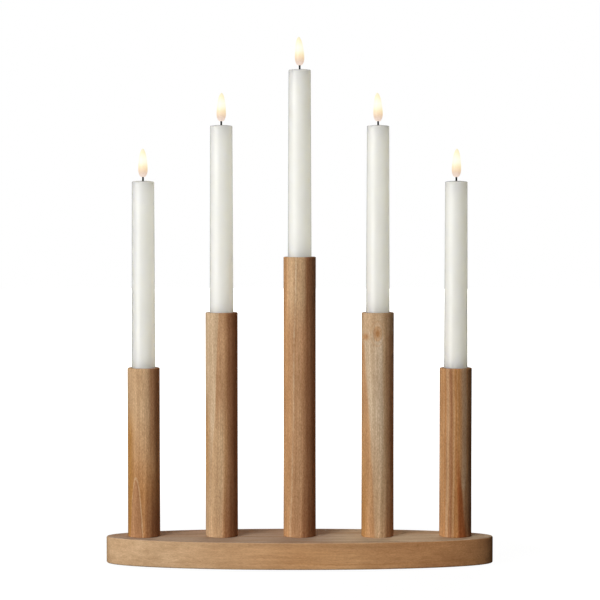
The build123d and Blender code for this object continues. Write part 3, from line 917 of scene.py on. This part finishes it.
# Wicks: short black sleeves over the diodes' leads.
# Each stands up out of the wax and carries a flame.
WICK_DARK = (0.003, 0.003, 0.003, 1)
WICK_LIGHT = (0.012, 0.011, 0.010, 1)
WICK_BRAID_SCALE = (2.4, 2.4, 0.9)
WICK_ROUGHNESS = (0.65, 0.85)
WICK_GLOSS = 0.1
WICK_BRAID_STRENGTH = 0.5
WICK_BRAID_DEPTH = 0.15 * MM


def wick_sleeve():
    """A matt black sleeve with the relief of a braid."""
    material, tree, shader = new_material("wick_sleeve")
    braid = stretched_noise(tree, in_millimetres(tree), WICK_BRAID_SCALE, detail=3.0)
    two_toned(tree, shader, braid, WICK_DARK, WICK_LIGHT)
    roughened(tree, shader, braid, *WICK_ROUGHNESS)
    shader.inputs["Specular IOR Level"].default_value = WICK_GLOSS
    bumped(tree, shader, braid, WICK_BRAID_STRENGTH, WICK_BRAID_DEPTH)
    return material


keep_shape(wick_sleeve(), *in_every_candle("wick"))

# Flames: frosted plastic bulbs, lit from inside by the diodes.
# One is pushed on each wick, and each leans a little its own way.
FLAME_RADIUS = 4.35 * MM
FLAME_BELLY = 0.27
FLAME_TAPER_POWER = 0.56
FLAME_FOOT_SHARE = 0.03
FLAME_LEAN = 0.9 * MM
FLAME_TURNS = (100, 70, 180, 140, 50)
FLAME_ROWS = 40
FLAME_POINTS = 48
FLAME_PLASTIC = (0.12, 0.11, 0.12, 1)
FLAME_ROUGHNESS = 0.35
FLAME_GLOW = [
    (0.0, (0.80, 0.66, 0.58, 1)),
    (0.13, (0.77, 0.60, 0.47, 1)),
    (0.22, (0.82, 0.63, 0.42, 1)),
    (0.35, (0.93, 0.77, 0.48, 1)),
    (0.50, (0.97, 0.93, 0.71, 1)),
    (0.62, (0.98, 0.97, 0.78, 1)),
    (0.74, (0.97, 0.92, 0.69, 1)),
    (0.87, (0.93, 0.85, 0.54, 1)),
    (1.0, (0.86, 0.79, 0.55, 1)),
]
FROST_SCALE = (0.8, 0.8, 0.8)
FROST_TINTS = [(0.35, (0.92, 0.89, 0.86, 1)), (0.6, 1.0)]
FROST_FADE = (0.15, 0.45)
FROST_AT_TIP = 0.15


def flame_material():
    """A glow that goes from pink at the foot through orange and near white to a yellow tip."""
    material, tree, shader = new_material("lit_flame")
    height = split(tree, coordinates(tree, "Generated"))[2]
    frost = stretched_noise(tree, in_millimetres(tree), FROST_SCALE, detail=2.0)
    frosting = ramp(tree, frost, FROST_TINTS)
    fading = rescaled(tree, height, *FROST_FADE, 1.0, FROST_AT_TIP)
    glow = tinted(tree, fading, ramp(tree, height, FLAME_GLOW), frosting)
    shader.inputs["Base Color"].default_value = FLAME_PLASTIC
    tree.links.new(glow, shader.inputs["Emission Color"])
    shader.inputs["Emission Strength"].default_value = 1.0
    shader.inputs["Roughness"].default_value = FLAME_ROUGHNESS
    return material


def flame_radius(share):
    """A flame's radius at a share of its height: a round belly, and a taper to the tip."""
    if share < FLAME_BELLY:
        return FLAME_RADIUS * math.sqrt(1 - (1 - share / FLAME_BELLY) ** 2)
    above = (share - FLAME_BELLY) / (1 - FLAME_BELLY)
    return FLAME_RADIUS * max(0.0, 1 - above**2) ** FLAME_TAPER_POWER


lit_flame = flame_material()
for place, lean_turn in zip(PLACES, FLAME_TURNS):
    low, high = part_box(f"{place}_candle_flame")
    outline = [(0, low[2])]
    for row in range(FLAME_ROWS):
        progress = math.sin(math.pi / 2 * row / FLAME_ROWS)
        share = FLAME_FOOT_SHARE + (1 - FLAME_FOOT_SHARE) * progress
        outline.append((flame_radius(share), low[2] + (high[2] - low[2]) * progress))
    outline.append((0, high[2]))
    flame = bmesh.new()
    turned(flame, outline, post_spots[place], FLAME_POINTS)
    for vertex in flame.verts:
        lean = FLAME_LEAN * ((vertex.co.z - low[2]) / (high[2] - low[2])) ** 2
        vertex.co.x += lean * math.cos(math.radians(lean_turn))
        vertex.co.y += lean * math.sin(math.radians(lean_turn))
    bulb = piece_from(flame, f"{place}_flame_bulb")
    settle(bulb, f"{place}_candle", lit_flame, f"{place}_candle_flame")

# Table top and studio: a floor that keeps the shadow, and a backdrop, both white to the camera alone.
# A key softbox stands at the front left, a wide one further left makes the highlight on the wax, a fill
# is near the camera, and a low lamp behind shines through the wax. The sky is weak, grey in reflections.
FLOOR_RADIUS = 6.0
FLOOR_POINTS = 96
FLOOR_GAP = 0.1 * MM
FLOOR_GREY = (0.15, 0.15, 0.15, 1)
FLOOR_ROUGHNESS = 0.9
FLOOR_WHITE_SHARE = 0.6
FLOOR_FADE = (0.25, 0.9)
LIT_FLOOR = 0.065
WHITE = (1, 1, 1, 1)
SKY_FILL = 0.03
SKY_IN_GLOSS = 0.25
AIM = Vector((0, 0, 0.25))

floor_mesh = bmesh.new()
bmesh.ops.create_circle(floor_mesh, cap_ends=True, segments=FLOOR_POINTS, radius=FLOOR_RADIUS)
floor = piece_from(floor_mesh, "floor")
floor.location.z = -FLOOR_GAP
floor_paint, tree, shader = new_material("pale_floor")
shader.inputs["Base Color"].default_value = FLOOR_GREY
shader.inputs["Roughness"].default_value = FLOOR_ROUGHNESS
shader.inputs["Specular IOR Level"].default_value = 0.0
# The lit floor and this lift add up to white.
lift = (1 - (1 - FLOOR_WHITE_SHARE) * LIT_FLOOR) / FLOOR_WHITE_SHARE
white = shader_node(tree, "ShaderNodeEmission", {"Color": WHITE, "Strength": lift})
distance = length(tree, coordinates(tree, "Object"))
fade = rescaled(tree, distance, *FLOOR_FADE, FLOOR_WHITE_SHARE, 1.0)
seen = shader_node(tree, "ShaderNodeLightPath").outputs["Is Camera Ray"]
share = worked_out(tree, "MULTIPLY", fade, seen)
mix = shader_node(tree, "ShaderNodeMixShader", {0: share, 1: shader.outputs[0], 2: white.outputs[0]})
tree.links.new(mix.outputs[0], tree.nodes["Material Output"].inputs["Surface"])
floor.data.materials.append(floor_paint)

world = bpy.data.worlds.new("studio")
bpy.context.scene.world = world
world.use_nodes = True
tree = world.node_tree
paths = shader_node(tree, "ShaderNodeLightPath").outputs
sky = tree.nodes["Background"]
sky.inputs["Color"].default_value = WHITE
level = rescaled(tree, paths["Is Glossy Ray"], 0.0, 1.0, SKY_FILL, SKY_IN_GLOSS)
tree.links.new(level, sky.inputs["Strength"])
backdrop = shader_node(tree, "ShaderNodeBackground", {"Color": WHITE, "Strength": 1.0})
inputs = {0: paths["Is Camera Ray"], 1: sky.outputs[0], 2: backdrop.outputs[0]}
mix = shader_node(tree, "ShaderNodeMixShader", inputs)
tree.links.new(mix.outputs[0], tree.nodes["World Output"].inputs["Surface"])


def softbox(name, azimuth, height, distance, power, size, colour=(1, 1, 1), reflected=False):
    """A soft light aimed at the middle of the holder. Azimuth is to the left of the camera, in degrees."""
    turn, rise = math.radians(azimuth), math.radians(height)
    level = math.cos(rise)
    towards = Vector((-math.sin(turn) * level, -math.cos(turn) * level, math.sin(rise)))
    light = bpy.data.lights.new(name, "AREA")
    light.shape = "RECTANGLE"
    light.size, light.size_y = size
    light.energy = power
    light.color = colour
    lamp = bpy.data.objects.new(name, light)
    bpy.context.collection.objects.link(lamp)
    lamp.location = AIM + distance * towards
    lamp.rotation_euler = towards.to_track_quat("Z", "Y").to_euler()
    lamp.visible_camera = False
    lamp.visible_glossy = reflected


softbox("key_softbox", azimuth=35, height=28, distance=2.2, power=29.0, size=(0.8, 1.5))
softbox(
    "strip_softbox",
    azimuth=54,
    height=8,
    distance=2.2,
    power=16.0,
    size=(1.5, 1.8),
    colour=(1.0, 0.99, 0.95),
    reflected=True,
)
softbox("front_softbox", azimuth=15, height=10, distance=2.5, power=12.9, size=(1.0, 1.0))
softbox(
    "back_softbox",
    azimuth=190,
    height=0,
    distance=2.2,
    power=76.0,
    size=(1.2, 0.5),
    colour=(1.0, 0.985, 0.92),
)

# Camera: a long lens about two metres in front of the holder.
# It stands above the holder's middle and is tilted a little down.
CAMERA_SPOT = (0.0003, -2.1168, 0.3486)
CAMERA_TILT = math.radians(2.75)
SENSOR_WIDTH = 36.0
FOCAL_LENGTH = 137.05
lens = bpy.data.cameras.new("camera")
lens.sensor_width = SENSOR_WIDTH
lens.lens = FOCAL_LENGTH
camera = bpy.data.objects.new("camera", lens)
bpy.context.collection.objects.link(camera)
camera.location = CAMERA_SPOT
camera.rotation_euler = (math.pi / 2 - CAMERA_TILT, 0, 0)
bpy.context.scene.camera = camera
bpy.context.scene.view_settings.view_transform = "Standard"
